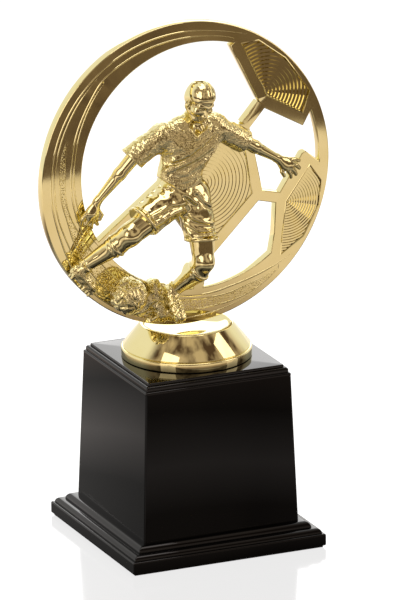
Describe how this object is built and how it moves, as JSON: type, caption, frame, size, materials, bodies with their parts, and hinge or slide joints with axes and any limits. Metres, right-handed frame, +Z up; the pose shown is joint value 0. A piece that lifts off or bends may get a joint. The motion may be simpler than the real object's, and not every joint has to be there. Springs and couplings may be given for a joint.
{
  "type": "figure trophy",
  "caption": "Figure trophy: a gold footballer striking a ball inside a pierced ring, on a round foot above a black, square, stepped and weighted base.",
  "frame": {"origin": "centre of the underside of the base pad, on the surface the trophy stands on", "axes": "+Z up; +X to the right as the trophy is looked at; the player and the plaque face look towards -Y"},
  "size_m": [0.1186, 0.08, 0.2022],
  "materials": {
    "base_plastic": "black ABS, high gloss as moulded",
    "gold_plastic": "pale gold vacuum-metallised plastic, mirror bright",
    "cover_board": "black polystyrene sheet, matt",
    "pad_foam": "black EVA foam, fine cell",
    "ballast_cement": "cast gypsum cement, rough",
    "insert_brass": "turned and knurled brass",
    "zinc_steel": "bright zinc plate",
    "washer_fibre": "red vulcanised fibre"
  },
  "bodies": {
    "base": {"base_shell": "base_plastic", "ballast_block": "ballast_cement", "bottom_cover": "cover_board", "base_pad": "pad_foam"},
    "figure": {"figure_foot": "gold_plastic", "foot_insert": "insert_brass", "stud": "zinc_steel", "stud_nut": "zinc_steel", "steel_washer": "zinc_steel", "fibre_washer": "washer_fibre", "ring_frame": "gold_plastic", "player": "gold_plastic", "football": "gold_plastic"}
  },
  "joints": [
    {"name": "figure_turn", "type": "hinge", "parent": "base", "child": "figure", "pos_m": [0, 0, 0.0713], "axis": [0, 0, 1], "continuous": true}
  ]
}
